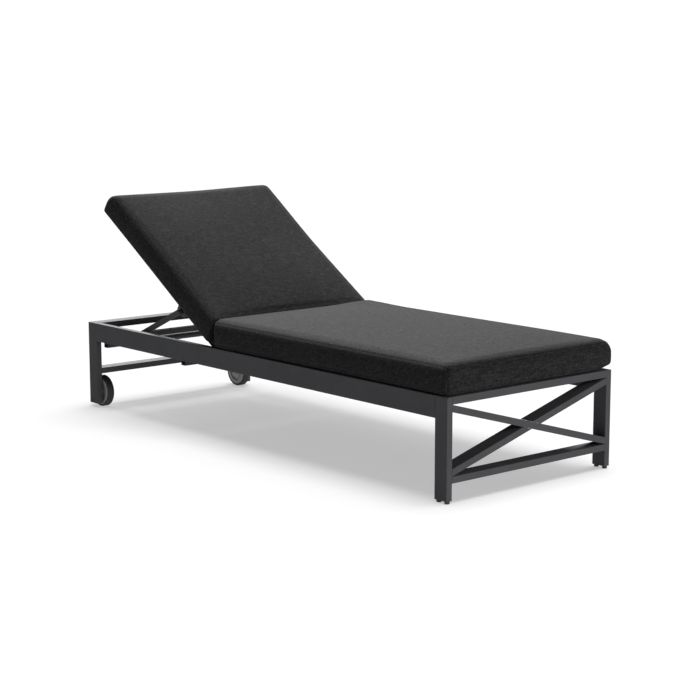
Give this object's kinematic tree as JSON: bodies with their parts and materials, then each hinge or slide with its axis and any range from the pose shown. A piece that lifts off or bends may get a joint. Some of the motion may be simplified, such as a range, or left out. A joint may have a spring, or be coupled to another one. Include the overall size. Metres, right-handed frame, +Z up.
{
  "type": "sun lounger",
  "caption": "Reclining sun lounger with a charcoal tube frame, crossed foot brace, propped back, two box cushions and wheels at the head end.",
  "frame": {"origin": "on the floor, under the centre of the overall box", "axes": "X across the lounger, right side at -X; +Y towards the head end; +Z up"},
  "size_m": [0.74, 2.032, 0.8251],
  "materials": {
    "powder_coat": "satin",
    "steel": "satin",
    "black_steel": "satin",
    "black_nylon": "matte",
    "grey_plastic": "satin",
    "rubber": "matte",
    "cloth": "matte"
  },
  "bodies": {
    "frame": {"side_rail_left": "powder_coat", "side_rail_right": "powder_coat", "foot_leg_left": "powder_coat", "foot_leg_right": "powder_coat", "head_leg_left": "powder_coat", "head_leg_right": "powder_coat", "foot_top_rail": "powder_coat", "foot_stretcher": "powder_coat", "foot_brace_long": "powder_coat", "foot_brace_upper_half": "powder_coat", "foot_brace_lower_half": "powder_coat", "head_top_rail": "powder_coat", "head_stretcher": "powder_coat", "cross_member_middle": "powder_coat", "cross_member_head": "powder_coat", "seat_slat_1": "powder_coat", "seat_slat_2": "powder_coat", "seat_slat_3": "powder_coat", "seat_slat_4": "powder_coat", "seat_slat_5": "powder_coat", "seat_slat_6": "powder_coat", "seat_slat_7": "powder_coat", "seat_slat_8": "powder_coat", "seat_slat_9": "powder_coat", "seat_slat_10": "powder_coat", "seat_slat_11": "powder_coat", "prop_rack_left": "powder_coat", "prop_rack_right": "powder_coat", "foot_glide_left_outer": "black_nylon", "foot_glide_left_inner": "black_nylon", "foot_glide_right_outer": "black_nylon", "foot_glide_right_inner": "black_nylon", "hinge_bolt_left": "steel", "hinge_bolt_right": "steel", "wheel_axle_left": "steel", "wheel_axle_right": "steel", "seat_cushion": "cloth"},
    "backrest": {"back_tube_left": "powder_coat", "back_tube_right": "powder_coat", "back_top_tube": "powder_coat", "back_lower_tube": "powder_coat", "back_slat_1": "powder_coat", "back_slat_2": "powder_coat", "back_slat_3": "powder_coat", "back_slat_4": "powder_coat", "back_slat_5": "powder_coat", "hinge_bush_left": "black_nylon", "hinge_bush_right": "black_nylon", "prop_bracket_left": "black_nylon", "prop_bracket_right": "black_nylon", "prop_bolt_left": "black_steel", "prop_bolt_right": "black_steel", "back_cushion": "cloth"},
    "prop": {"prop_arm_left": "powder_coat", "prop_arm_right": "powder_coat", "prop_foot_bar": "powder_coat"},
    "wheel_left": {"wheel_hub_left": "grey_plastic", "wheel_tyre_left": "rubber"},
    "wheel_right": {"wheel_hub_right": "grey_plastic", "wheel_tyre_right": "rubber"}
  },
  "joints": [
    {"name": "backrest_recline", "type": "hinge", "parent": "frame", "child": "backrest", "pos_m": [0, 0.212, 0.3185], "axis": [1, 0, 0], "range_deg": [-32.75, 27.25]},
    {"name": "prop_swing", "type": "hinge", "parent": "backrest", "child": "prop", "pos_m": [0, 0.42549, 0.42729], "axis": [1, 0, 0], "range_deg": [-42.6, 51.2]},
    {"name": "wheel_left_spin", "type": "hinge", "parent": "frame", "child": "wheel_left", "pos_m": [0.328, 0.956, 0.06], "axis": [1, 0, 0], "continuous": true},
    {"name": "wheel_right_spin", "type": "hinge", "parent": "frame", "child": "wheel_right", "pos_m": [-0.328, 0.956, 0.06], "axis": [1, 0, 0], "continuous": true}
  ],
  "couplings": [
    {"joint": "prop_swing", "follows": "backrest_recline", "ratio": -1.56}
  ]
}
